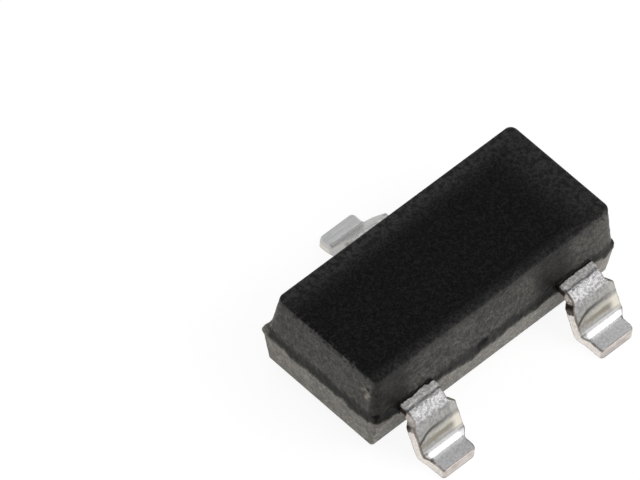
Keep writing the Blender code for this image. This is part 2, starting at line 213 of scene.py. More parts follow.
class StageLook(bpy.types.PropertyGroup):
    floor_colour: colour("Floor colour", "Plain pale floor", (0.82, 0.82, 0.82))
    floor_size: length("Floor size", "Side of the floor", 3000.0, 10.0)
    ceiling: amount("Ceiling", "Brightness of the room overhead", 0.48, 2.0)
    surround: amount("Surround", "Brightness of the room at eye level", 0.85, 2.0)
    key: amount("Key", "Brightness of the large soft box", 2.2, 20.0)
    camera_turn: angle("Camera turn", "Turn about the vertical", 48.407)
    camera_rise: angle("Camera rise", "Height above the horizon", 52.741)
    camera_roll: angle("Camera roll", "Tilt of the picture", 5.359)
    camera_distance: length("Camera distance", "From the middle of the part", 104.3, 1.0)
    focal_length: FloatProperty(name="Focal length", description="For a 36 mm wide picture", default=686.8,
                                min=50.0, max=2000.0, unit="CAMERA")


# Small tools for meshes and node trees

def smooth_step(low, high, value):
    share = min(max((value - low) / (high - low), 0.0), 1.0)
    return share * share * (3 - 2 * share)


def ripple(point, size):
    """Noise between about -1 and 1 with features of the given size."""
    return noise.noise(point / size)


def rings_mesh(name, rings, marks):
    """Closed mesh through equal rings, with one number a point kept as named attributes."""
    count = len(rings[0])
    faces = [list(reversed(range(count)))]
    for row in range(len(rings) - 1):
        first = row * count
        for index in range(count):
            after = (index + 1) % count
            faces.append((first + index, first + after, first + count + after, first + count + index))
    faces.append([(len(rings) - 1) * count + index for index in range(count)])
    mesh = bpy.data.meshes.new(name)
    mesh.from_pydata([point for ring in rings for point in ring], [], faces)
    for label, values in marks.items():
        mesh.attributes.new(label, "FLOAT", "POINT").data.foreach_set("value", values)
    shape = bmesh.new()
    shape.from_mesh(mesh)
    bmesh.ops.recalc_face_normals(shape, faces=shape.faces)
    shape.to_mesh(mesh)
    shape.free()
    return mesh


def add_object(name, data, material=None):
    made = bpy.data.objects.new(name, data)
    bpy.context.scene.collection.objects.link(made)
    if material is not None:
        data.materials.append(material)
    return made


def finish_piece(piece, node):
    piece.data.shade_smooth()
    piece.data.set_sharp_from_angle(angle=radians(38))
    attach(piece, "root")
    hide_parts(node)


class Signal:
    """Output of a node. Arithmetic on it adds Math nodes to the same tree."""

    def __init__(self, socket):
        self.socket = socket
        self.tree = socket.id_data

    def __add__(self, other):
        return calc("ADD", self, other)

    def __sub__(self, other):
        return calc("SUBTRACT", self, other)

    def __rsub__(self, other):
        return calc("SUBTRACT", other, self)

    def __mul__(self, other):
        return calc("MULTIPLY", self, other)

    def __truediv__(self, other):
        return calc("DIVIDE", self, other)

    def __rtruediv__(self, other):
        return calc("DIVIDE", other, self)

    def __pow__(self, other):
        return calc("POWER", self, other)

    def __abs__(self):
        return calc("ABSOLUTE", self)

    __radd__ = __add__


def calc(operation, first, second=0.0):
    tree = (first if isinstance(first, Signal) else second).tree
    return add(tree, "ShaderNodeMath", {0: first, 1: second}, operation=operation)


larger, smaller = partial(calc, "MAXIMUM"), partial(calc, "MINIMUM")
sine, cosine = partial(calc, "SINE"), partial(calc, "COSINE")


def add(tree, kind, inputs=(), output=0, **settings):
    """Adds a node with its inputs and settings, and gives one of its outputs."""
    made = tree.nodes.new(kind)
    for key, value in settings.items():
        setattr(made, key, value)
    for key, value in dict(inputs).items():
        if isinstance(value, Signal):
            tree.links.new(value.socket, made.inputs[key])
        else:
            made.inputs[key].default_value = value
    return Signal(made.outputs[output])


def plug(signal, inputs, name):
    signal.tree.links.new(signal.socket, inputs[name])


def mix(share, first, second):
    return add(share.tree, "ShaderNodeMix", {0: share, 2: first, 3: second})


def fade(value, low, high, start=0.0, end=1.0):
    """Smooth change from start to end as value goes from low to high."""
    return add(value.tree, "ShaderNodeMapRange",
               {"Value": value, "From Min": low, "From Max": high, "To Min": start, "To Max": end},
               "Result", interpolation_type="SMOOTHSTEP")


def fall(value, low, high):
    return fade(value, low, high, 1.0, 0.0)


def between(value, low, high, soft):
    """1 between low and high, fading to 0 over soft outside them."""
    return fade(value, low - soft, low) * fall(value, high, high + soft)


def split(place):
    """The three parts of a vector."""
    parts = place.tree.nodes.new("ShaderNodeSeparateXYZ")
    plug(place, parts.inputs, 0)
    return [Signal(socket) for socket in parts.outputs]


def vectors(operation, first, second, slot=1, output=0):
    return add(first.tree, "ShaderNodeVectorMath", {0: first, slot: second}, output, operation=operation)


def scaled(vector, factor):
    return vectors("SCALE", vector, factor, "Scale")


def gap_to(place, spot):
    return vectors("DISTANCE", place, spot, output="Value")


def cloud(place, size, detail=2.0, roughness=0.5):
    """Noise between 0 and 1 whose features have the given size in millimetres."""
    return add(place.tree, "ShaderNodeTexNoise",
               {"Vector": place, "Scale": 1 / size, "Detail": detail, "Roughness": roughness}, "Fac")


def blend(share, first, second):
    """Colour that goes from the first to the second."""
    colours = [value if isinstance(value, Signal) else (*value, 1.0) for value in (first, second)]
    return add(share.tree, "ShaderNodeMix", {0: share, 6: colours[0], 7: colours[1]}, 2,
               data_type="RGBA", clamp_factor=True)


def coat(paint, *layers):
    """Lays colours over a paint one after another, each as far as its share says."""
    for share, tone in layers:
        paint = blend(share, paint, tone)
    return paint


def toned(tone, factor):
    return tuple(factor * part for part in tone)


def new_material(name):
    material = bpy.data.materials.new(name)
    material.use_nodes = True
    tree = material.node_tree
    return material, tree, tree.nodes["Principled BSDF"].inputs


def millimetres(source):
    """The place as a vector in millimetres, so that noise sizes read as sizes."""
    return add(source.tree, "ShaderNodeMapping", {"Vector": source, "Scale": (1000, 1000, 1000)})


def object_place(tree):
    return millimetres(add(tree, "ShaderNodeTexCoord", (), "Object"))


def attribute(tree, name, output="Fac"):
    return add(tree, "ShaderNodeAttribute", (), output, attribute_name=name, attribute_type="GEOMETRY")


def emboss(height, depth):
    return add(height.tree, "ShaderNodeBump", {"Strength": 1.0, "Distance": depth, "Height": height},
               "Normal")


# Body

def body_outline(half_x, half_y, radii, spacing):
    """Evenly spaced points round the body, with a radius for each corner."""
    turns = 8
    points = []
    for quarter, (side_x, side_y) in enumerate(CORNERS):
        radius, following = radii[quarter], radii[(quarter + 1) % 4]
        for step in range(turns):
            turn = pi / 2 * (quarter + step / turns)
            points.append(Vector((side_x * (half_x - radius) + radius * cos(turn),
                                  side_y * (half_y - radius) + radius * sin(turn))))
        if quarter % 2 == 0:
            start = Vector((side_x * (half_x - radius), side_y * half_y))
            end = Vector((-side_x * (half_x - following), side_y * half_y))
            count = round(2 * BODY_HIGH.x / spacing)
        else:
            start = Vector((side_x * half_x, side_y * (half_y - radius)))
            end = Vector((side_x * half_x, -side_y * (half_y - following)))
            count = round(2 * BODY_HIGH.y / spacing)
        points += [start.lerp(end, step / count) for step in range(count)]
    return points


def body_levels(look):
    """Height of each ring of the body, and how far it lies inside the wall."""
    parting, low, high = look.parting_height, BODY_LOW.z, BODY_HIGH.z
    levels = []
    for step in range(5):
        turn = pi / 2 * step / 4
        inset = look.bottom_edge * (1 - sin(turn))
        levels.append((low + look.bottom_edge * (1 - cos(turn)), inset))
    levels += [(low + (parting - low) * share, 0.0) for share in LOWER_LEVELS]
    levels += [(parting + rise * MM, 0.0) for rise in FLASH_LEVELS]
    wall_start, wall_end = parting + FLASH_LEVELS[-1] * MM, high - look.top_edge
    levels += [(wall_start + (wall_end - wall_start) * step / 22, 0.0) for step in range(1, 22)]
    for step in range(7):
        turn = pi / 2 * (1 - step / 6)
        levels.append((high - look.top_edge * (1 - cos(turn)), look.top_edge * (1 - sin(turn))))
    return levels + [(high, inset * MM) for inset in TOP_LEVELS]


def fin_fullness(rise):
    """How much of the torn corner fin stands at a height above the parting."""
    fullness = 1 - 0.5 * min(max(rise / MM - 0.06, 0.0) / 0.10, 1.0)
    fullness *= 1 - smooth_step(0.145 * MM, 0.175 * MM, rise)
    return fullness * (0.3 + 0.7 * smooth_step(-0.04 * MM, 0.02 * MM, rise))


def body_mesh(look):
    parting = look.parting_height
    crumb, notch = Vector(look.crumb_place), Vector(look.notch_place)
    pit = crumb + Vector((0.0, *PIT_STEP)) * MM
    rings, marks = [], []
    for z, inset in body_levels(look):
        rise = z - parting
        if rise <= 0:
            half_x = BODY_HIGH.x + rise * tan(look.lower_end_draft)
            half_y = BODY_HIGH.y + rise * tan(look.lower_side_draft)
            flare = 0.0
        else:
            half_x = BODY_HIGH.x - look.flash_ledge - rise * tan(look.upper_end_draft)
            half_y = BODY_HIGH.y - look.flash_ledge - rise * tan(look.upper_side_draft)
            flare = (1 - smooth_step(0, look.flash_height, rise)) ** 1.6
        rounding = smooth_step(0.07 * MM, 0.13 * MM, rise)
        radii = [look.lower_corner + (look.upper_corner - look.lower_corner) * rounding] * 4
        if inset > look.top_edge:
            radii = [max(look.upper_corner - inset / 2, 0.03 * MM)] * 4
        near = max(0.0, 1 - abs(rise) / (0.13 * MM))
        ring = []
        for point in body_outline(half_x - inset, half_y - inset, radii, look.spacing):
            place = Vector((point.x, point.y, 0.0))
            outward = Vector((0.0, 0.0, 0.0))
            if abs(point.x) > half_x - inset - radii[0]:
                outward.x = copysign(1.0, point.x)
            if abs(point.y) > half_y - inset - radii[0]:
                outward.y = copysign(1.0, point.y)
            wander = look.flash_wander * (0.9 * ripple(place, 0.2 * MM) + 0.4 * ripple(place, 0.07 * MM)
                                          + 0.25 * ripple(place, 0.03 * MM))
            torn = 0.8 + 0.6 * ripple(place + Vector((0, 0, 5 * MM)), 0.035 * MM)
            shift = outward * look.flash_ledge * flare * min(max(torn, 0.15), 1.0)
            for index, (side_x, side_y) in enumerate(CORNERS):
                corner = Vector((side_x, side_y, 0))
                gap = Vector((point.x - side_x * half_x, point.y - side_y * half_y)).length
                wander += CORNER_WANDER[index] * MM * exp(-(gap / (0.14 * MM)) ** 2)
                if index == CHIPPED_CORNER and rise < 0.04 * MM:
                    chip = exp(-(gap / (0.07 * MM)) ** 2) * smooth_step(-0.35 * MM, -0.02 * MM, rise)
                    shift -= corner * 0.010 * MM * chip
                if gap < 0.2 * MM and rise < 0.21 * MM:
                    reach = exp(-(gap / (0.05 * MM)) ** 2) * smooth_step(-0.25 * MM, 0.0, rise)
                    lasting = 1 - smooth_step(0.05 * MM, 0.11 * MM, rise)
                    lasting *= smooth_step(-0.03 * MM, 0.01 * MM, rise)
                    shift += corner * look.corner_bump * CORNER_BUMPS[index] * reach * lasting
                    if index == FIN_CORNER:
                        fin = 1 - 0.15 * smooth_step(0, 0.08 * MM, rise)
                        shift += Vector((-0.3 * fin, 1.0, 0)) * look.corner_flash * reach * fin_fullness(rise)
            spot = Vector((point.x, point.y, z))
            rough = 0.0025 * MM * ripple(spot, 0.05 * MM) if inset == 0 else 0.0
            chipped = max(0.0, 1 - (spot - crumb).length / look.crumb_size)
            pitted = max(0.0, 1 - (spot - pit).length / (0.7 * look.crumb_size))
            torn_out = spot - notch
            torn_out.x /= NOTCH_STRETCH
            notched = 1 - smooth_step(0.3 * look.notch_size, look.notch_size, torn_out.length)
            rough += (0.008 * chipped - 0.012 * pitted - 0.012 * notched) * MM
            moved = Vector((point.x, point.y, z + wander * near)) + shift + outward * rough
            moved.x = min(max(moved.x, BODY_LOW.x), BODY_HIGH.x)
            ring.append(moved)
            marks.append(rise / MM)
        rings.append(ring)
    return rings_mesh("moulded_compound", rings, {"rise": marks})


def epoxy_material(look):
    material, tree, shader = new_material("black_epoxy_compound")
    place = object_place(tree)
    rise = attribute(tree, "rise")
    x, y, height = split(place)
    fine = cloud(place, 0.021, 2.0, 0.55)
    coarse = cloud(place, 0.05, 3.0, 0.6)
    wide = cloud(place, 0.3)
    tint = cloud(vectors("ADD", place, (7.0, 3.0, 5.0)), 0.045)
    ragged = (coarse - 0.5) * 0.075
    fin, crumb, notch = (toned(spot, 1 / MM) for spot in (look.fin_place, look.crumb_place, look.notch_place))

    # where the top face, the flash band, the fin, the painted shade above the paired leads and the lower wall
    # are
    crown = BODY_HIGH.z / MM
    top = fade(height + (ragged * 5.0 + (fine - 0.5) * 0.16), crown - 0.046, crown - 0.018)
    flat = larger(abs(y), abs(x) - ((BODY_HIGH.x - BODY_HIGH.y) / MM + 0.033))
    top = larger(top, fall(flat, 0.578, 0.606))
    fin_share = fall(gap_to(place, fin) + ragged, 0.045, 0.1)
    nook = (BODY_LOW.x / MM, BODY_LOW.y / MM, 0.44)
    # flash band: partly resin-rich compound, partly painted shade in the hollow above the flash
    band = between(rise + ragged * 1.4, 0.05, 0.085, 0.065) * (1.0 - fin_share)
    band = band * fade(gap_to(place, nook), 0.04, 0.12, 0.35, 1.0)
    lower = larger(fall(rise + (fine - 0.5) * 0.07, 0.0, 0.014), fin_share * 0.7)
    # painted shade on the wall above the paired leads, which hide the pale floor from it
    painted_lead_shade = 0.0
    for lead in (ANODE_LOW.x, SPARE_LOW.x):
        painted_lead_shade = painted_lead_shade + between(x - lead / MM, -0.08, 0.08, 0.26)
    painted_lead_shade = painted_lead_shade * fade(y, -0.56, -0.58) * fade(height, 0.6, 0.9, 0.9, 0.7)

    # colours of the walls and of the top face, the top painted darker as painted shade and the lower walls
    # lighter as painted reflection of the floor
    # near-black for the pores of the top face and for painted shade
    pore_and_shade_black = toned(look.top_colour, 0.1)
    wall = coat(blend(painted_lead_shade, look.wall_colour, look.lead_shade_colour),
                (lower, look.lower_colour),
                (band * fade(coarse, 0.34, 0.62, 1.0, 0.8), look.flash_and_shade_colour))
    far_edge = larger(fade(y, 0.3, 0.6, 0.0, 1.2), fade(x, 0.85, 1.35, 0.0, 0.93))
    far_edge = larger(far_edge, fade(y, -0.47, -0.59, 0.0, 0.8)) * fade(coarse, 0.38, 0.6, 0.8, 1.04)
    pores = fade(fine, 0.36, 0.6, 0.8, 0.0) * fade(far_edge, 0.0, 1.0, 1.0, 0.45)
    red, green, blue = look.top_colour
    face = coat(blend(far_edge, look.top_colour, (8.3 * red, 8.3 * green, 8.0 * red)),
                (fade(tint, 0.42, 0.62, 0.0, 0.85), (red * 2.3, green * 2.35, blue * 2.4)),
                (pores, pore_and_shade_black))
    mottle_and_sheen = fade(fine, 0.34, 0.66, 0.52, 1.4) + fade(wide, 0.3, 0.7, -0.18, 0.18)
    mottle_and_sheen = (mottle_and_sheen + fade(tint, 0.55, 0.72, 0.0, 0.8)) * fade(coarse, 0.34, 0.62, 0.42, 1.28)
    # past x = 1.1 the walls are painted lighter, a painted reflection of the pale floor
    mottle_and_sheen = mottle_and_sheen + fade(x, 1.1, 1.4, 0.0, 0.85) + fade(x, -1.402, -1.388, 0.13, 0.0)
    mottle_and_sheen = mix(lower * 0.3, mottle_and_sheen, 0.95)
    shade = scaled(blend(top, wall, face), mix(top, mottle_and_sheen, 1.0))

    # pale crumb, bright fin, and painted shade in the pit, at the front corner and in the torn notch
    size = look.crumb_size / MM
    flake = tuple(look.crumb_colour)
    shaded = (nook[0] + 0.11, nook[1] + 0.015, nook[2])
    # middle, how far aside of it and above it, reach, most of the colour, colour
    for base, aside, above, reach, most, tone in ((crumb, 0.0, 0.0, 0.85, 0.95, flake),
                                                  (crumb, 0.018, -0.046, 0.8, 0.9, flake),
                                                  (crumb, 0.016, 0.034, 0.6, 0.9, flake),
                                                  (crumb, 0.0465, 0.03, 0.55, 0.7, flake),
                                                  (crumb, 0.08, 0.004, 0.55, 0.5, flake),
                                                  (crumb, *PIT_STEP, 0.75, 0.95, pore_and_shade_black),
                                                  (shaded, 0.0, 0.0, 2.8, 0.5, pore_and_shade_black),
                                                  (fin, -0.071, 0.092, 0.55, 0.95, flake)):
        gap = gap_to(place, (base[0], base[1] + aside, base[2] + above)) + ragged * 0.5
        shade = blend(fade(gap, 0.3 * size * reach, 0.7 * size * reach, most, 0.0), shade, tone)
    # the torn notch is darkened as painted shade in its hollow
    reach = look.notch_size / MM
    flattened = vectors("MULTIPLY", place, (1 / NOTCH_STRETCH, 1.0, 1.0))
    gap = gap_to(flattened, (notch[0] / NOTCH_STRETCH, *notch[1:]))
    notched = fade(gap + ragged * 0.5, 0.35 * reach, 0.9 * reach, 0.95, 0.0)
    plug(blend(notched, shade, pore_and_shade_black), shader, "Base Color")

    # finish
    plug(fade(coarse, 0.25, 0.75, 0.42, 0.52), shader, "Roughness")
    shader["Specular IOR Level"].default_value = 0.25
    gloss = fade(top, 0.0, 1.0, 1.0, 0.34)
    gloss = gloss * (fade(band, 0.0, 1.0, 1.0, 0.42) * fade(painted_lead_shade, 0.0, 1.0, 1.0, 0.34))
    gloss = gloss * fade(mottle_and_sheen, 0.5, 1.4, 0.7, 1.05) * fade(notched, 0.0, 1.0, 1.0, 0.35)
    plug(add(tree, "ShaderNodeCombineXYZ", {0: gloss, 1: gloss, 2: gloss}), shader, "Specular Tint")
    relief = (fine + coarse * 1.6) * fade(top, 0.0, 1.0, 1.0, 0.4)
    plug(emboss(relief, look.grain), shader, "Normal")
    return material


# Leads

def lead_lengths(look, toe_reach, bend):
    """Mid-sheet radii, length of the leg, height of the middle of the sheet, distance of the toe."""
    shoulder = look.shoulder_radius + look.sheet / 2
    heel = look.heel_radius + look.sheet / 2
    middle = LEAD_TOP_Z - look.sheet / 2
    drop = middle - look.sheet / 2 - BOX_MARGIN - (shoulder + heel) * (1 - cos(bend))
    leg = drop / sin(bend)
    reach = BODY_HIGH.y + look.bend_start + (shoulder + heel) * sin(bend) + leg * cos(bend)
    heel_end = look.bend_start + (shoulder + heel) * bend + leg
    return shoulder, heel, leg, middle, heel_end + toe_reach - BOX_MARGIN - reach


def lead_outline(look, toe, inner, shifts, trim):
    """Distance from the body, half width and sideways shift of the stamped blank.

    The trim is the length of neck, slant, foot and taper, the radius of one toe corner and the bend.
    """
    neck, slant, foot, taper, corner, _ = trim
    foot = toe - foot
    foot_width = look.foot_width + 2 * max(abs(shifts[3]) - look.foot_shift, 0.0)
    stages = ((min(look.exit_length, neck - 0.03 * MM), 0.03 * MM, look.neck_width, shifts[1]),
              (neck, slant, look.dambar_width + 2 * abs(shifts[2]), shifts[2]),
              (foot - taper, taper, foot_width, shifts[3]))
    outline = list(inner)
    outline.append((-look.exit_length, look.exit_width / 2, shifts[0]))
    count = round(toe / look.spacing)
    for step in range(count):
        out = (toe - corner) * step / count
        half, shift = look.exit_width / 2, shifts[0]
        for begin, span, width, aside in stages:
            share = smooth_step(begin, begin + span, out)
            half += (width / 2 - half) * share
            shift += (aside - shift) * share
        outline.append((out, half, shift))
    for step in range(13):
        out = toe - corner * (1 - sin(pi / 2 * step / 12))
        insets = []
        for radius in (corner, look.toe_corner):
            inside = max(0.0, out - toe + radius)
            insets.append(radius - sqrt(max(radius ** 2 - inside ** 2, 0.0)))
        outline.append((out, (foot_width - insets[0] - insets[1]) / 2,
                        shifts[3] + (insets[0] - insets[1]) / 2))
    return outline


def cut_edge(look, top, roll):
    """One trimmed side of the blank from below: distance inward, height, and how bare it is."""
    side = []
    for step in (1, 2):
        turn = pi / 4 * step
        side.append((look.burr * (1 - sin(turn)), look.burr * (1 - cos(turn)), 1.0))
    for step in (1, 2, 3):
        side.append((0.0, look.burr + (look.sheet / 2 + top - roll - look.burr) * step / 4, 1.0))
    for step in range(6):
        turn = pi / 2 * step / 5
        up = look.sheet / 2 + top - roll * (1 - sin(turn))
        side.append((roll * (1 - cos(turn)), up, 1 - step / 5))
    return side


def blunt_end(edge, way, half, shift):
    """Rounded end of a post or paddle, as points of a blank's outline from the edge inwards."""
    return [(edge + way * along * MM, half - inward * MM, shift) for along, inward in BLUNT_CORNER]


def blank_mesh(name, look, outline, toe_roll, seed):
    """Flat stamped blank: X across, Y away from the body, Z up from the middle of the sheet."""
    toe = outline[-1][0]
    half_sheet, burr = look.sheet / 2, look.burr
    seed_height = seed * MM
    rings, cuts = [], []
    for out, half, shift in outline:
        outside = smooth_step(-0.02 * MM, 0.02 * MM, out) * (1 - smooth_step(toe - 0.04 * MM, toe, out))
        edges = []
        for side, apart in ((-1, Vector((0, 0, 0))), (1, Vector((0, 9 * MM, seed_height)))):
            edge = Vector((out, 0.0, seed_height)) + apart
            ragged = (0.0035 * ripple(edge, 0.06 * MM) + 0.002 * ripple(edge, 0.02 * MM)) * MM * outside
            edges.append(shift + side * half + ragged)
        left, right = edges
        roll = look.edge_roll * (0.35 + 0.65 * smooth_step(0.05 * MM, 0.1 * MM, out))
        into_toe = max(0.0, 1 - (toe - out) / toe_roll)
        top = half_sheet - toe_roll * (1 - sqrt(1 - min(into_toe, 1.0) ** 2)) * 0.8
        section = []
        for step in range(look.columns + 1):
            section.append((left + burr + (right - left - 2 * burr) * step / look.columns, -half_sheet, 0.0))
        side = cut_edge(look, top, roll)
        section += [(right - inward, up - half_sheet, cut) for inward, up, cut in side]
        for step in range(1, look.columns):
            section.append((right - roll - (right - left - 2 * roll) * step / look.columns, top, 0.0))
        section += [(left + inward, up - half_sheet, cut) for inward, up, cut in reversed(side)]
        ring = []
        for across, up, cut in section:
            if up > 0:
                spot = Vector((across, seed_height, 3 * MM))
                place = look.mark_place + 0.004 * MM * ripple(spot, 0.08 * MM)
                depth = look.mark_depth * (1 + 0.5 * ripple(spot, 0.035 * MM))
                near = max(0.0, 1 - abs(out - place) / (look.mark_length / 2))
                up -= depth * near * near * (3 - 2 * near)
            ring.append(Vector((across, out, up)))
            cuts.append(max(cut, smooth_step(toe - toe_roll, toe - 0.001 * MM, out)))
        rings.append(ring)
    return rings_mesh(name, rings, {"cut": cuts})


def forming_tree(material):
    """Bends a flat blank along the gull-wing path, with the orange peel of its shoulder."""
    tree = bpy.data.node_groups.new("gull_wing_forming", "GeometryNodeTree")
    tree.is_modifier = True
    tree.interface.new_socket("Geometry", in_out="INPUT", socket_type="NodeSocketGeometry")
    for name in FORMING_INPUTS:
        tree.interface.new_socket(name, in_out="INPUT", socket_type="NodeSocketFloat")
    tree.interface.new_socket("Geometry", in_out="OUTPUT", socket_type="NodeSocketGeometry")
    given = [Signal(socket) for socket in tree.nodes.new("NodeGroupInput").outputs]
    geometry, wall, middle, start, bend, shoulder, heel, leg = given[:8]
    grain_depth, grain_size, grain_start = given[8:11]

    # orange peel, measured on the flat blank
    where = add(tree, "GeometryNodeInputPosition")
    kept = add(tree, "GeometryNodeStoreNamedAttribute",
               {"Geometry": geometry, "Name": "blank", "Value": where}, "Geometry",
               data_type="FLOAT_VECTOR", domain="POINT")
    path = split(where)[1]
    first_end = start + shoulder * bend
    leg_end = first_end + leg
    last_end = leg_end + heel * bend
    grained = scaled(vectors("ADD", where, grain_start), 1.0 / grain_size)
    peel = cloud(grained, 1.0)
    near_shoulder = (fall(path, first_end, first_end + 0.06 * MM)
                     * fade(path, start, start + 0.04 * MM, 0.35, 1.0))
    lift = (peel - 0.62) * grain_depth * (near_shoulder * 0.85 + 0.15) * fade(path, -0.02 * MM, 0.0)
    along_normal = scaled(add(tree, "GeometryNodeInputNormal"), lift)
    rough = add(tree, "GeometryNodeSetPosition", {"Geometry": kept, "Offset": along_normal})

    # the two bends, the leg between them and the flats
    across, path, up = split(add(tree, "GeometryNodeInputPosition"))
    bent = smaller(bend, larger(path - start, 0.0) / shoulder)
    along = smaller(leg, larger(path - first_end, 0.0))
    unbent = smaller(bend, larger(path - leg_end, 0.0) / heel)
    tilt = bent - unbent
    left_over = bend - unbent
    bend_sine, bend_cosine = sine(bend), cosine(bend)
    flat = smaller(path, start) + larger(path - last_end, 0.0)
    reach = wall + flat + shoulder * sine(bent) + along * bend_cosine
    reach = reach + heel * (bend_sine - sine(left_over)) + up * sine(tilt)
    height = middle + up * cosine(tilt) - shoulder * (1.0 - cosine(bent)) - along * bend_sine
    height = height - heel * (cosine(left_over) - bend_cosine)
    formed = add(tree, "ShaderNodeCombineXYZ", {"X": across, "Y": reach, "Z": height})
    shaped = add(tree, "GeometryNodeSetPosition", {"Geometry": rough, "Position": formed})
    real = add(tree, "GeometryNodeRealizeInstances", {"Geometry": shaped})
    coated = add(tree, "GeometryNodeSetMaterial", {"Geometry": real, "Material": material})
    plug(coated, tree.nodes.new("NodeGroupOutput").inputs, 0)
    return tree


def form_lead(name, look, tree, toe_reach, inner, shifts, trim, toe_roll, seed, place, turn):
    """Stamps a blank, forms it with the node tree and puts it at its side of the body."""
    bend = trim[-1]
    shoulder, heel, leg, middle, toe = lead_lengths(look, toe_reach, bend)
    blank = blank_mesh(name, look, lead_outline(look, toe, inner, shifts, trim), toe_roll, seed)
    piece = add_object(name, blank)
    former = piece.modifiers.new("forming", "NODES")
    former.node_group = tree
    values = dict(zip(FORMING_INPUTS, (BODY_HIGH.y, middle, look.bend_start, bend, shoulder, heel, leg,
                                       look.grain_depth, look.grain_size, seed * MM)))
    for socket in tree.interface.items_tree:
        if socket.in_out == "INPUT" and socket.name in values:
            former[socket.identifier] = values[socket.name]
    graph = bpy.context.evaluated_depsgraph_get()
    formed = bpy.data.meshes.new_from_object(piece.evaluated_get(graph), preserve_all_data_layers=True,
                                             depsgraph=graph)
    piece.modifiers.remove(former)
    piece.data = formed
    formed.transform(Matrix.Translation(place) @ Matrix.Rotation(turn, 4, "Z"))
    formed.update()
    return piece


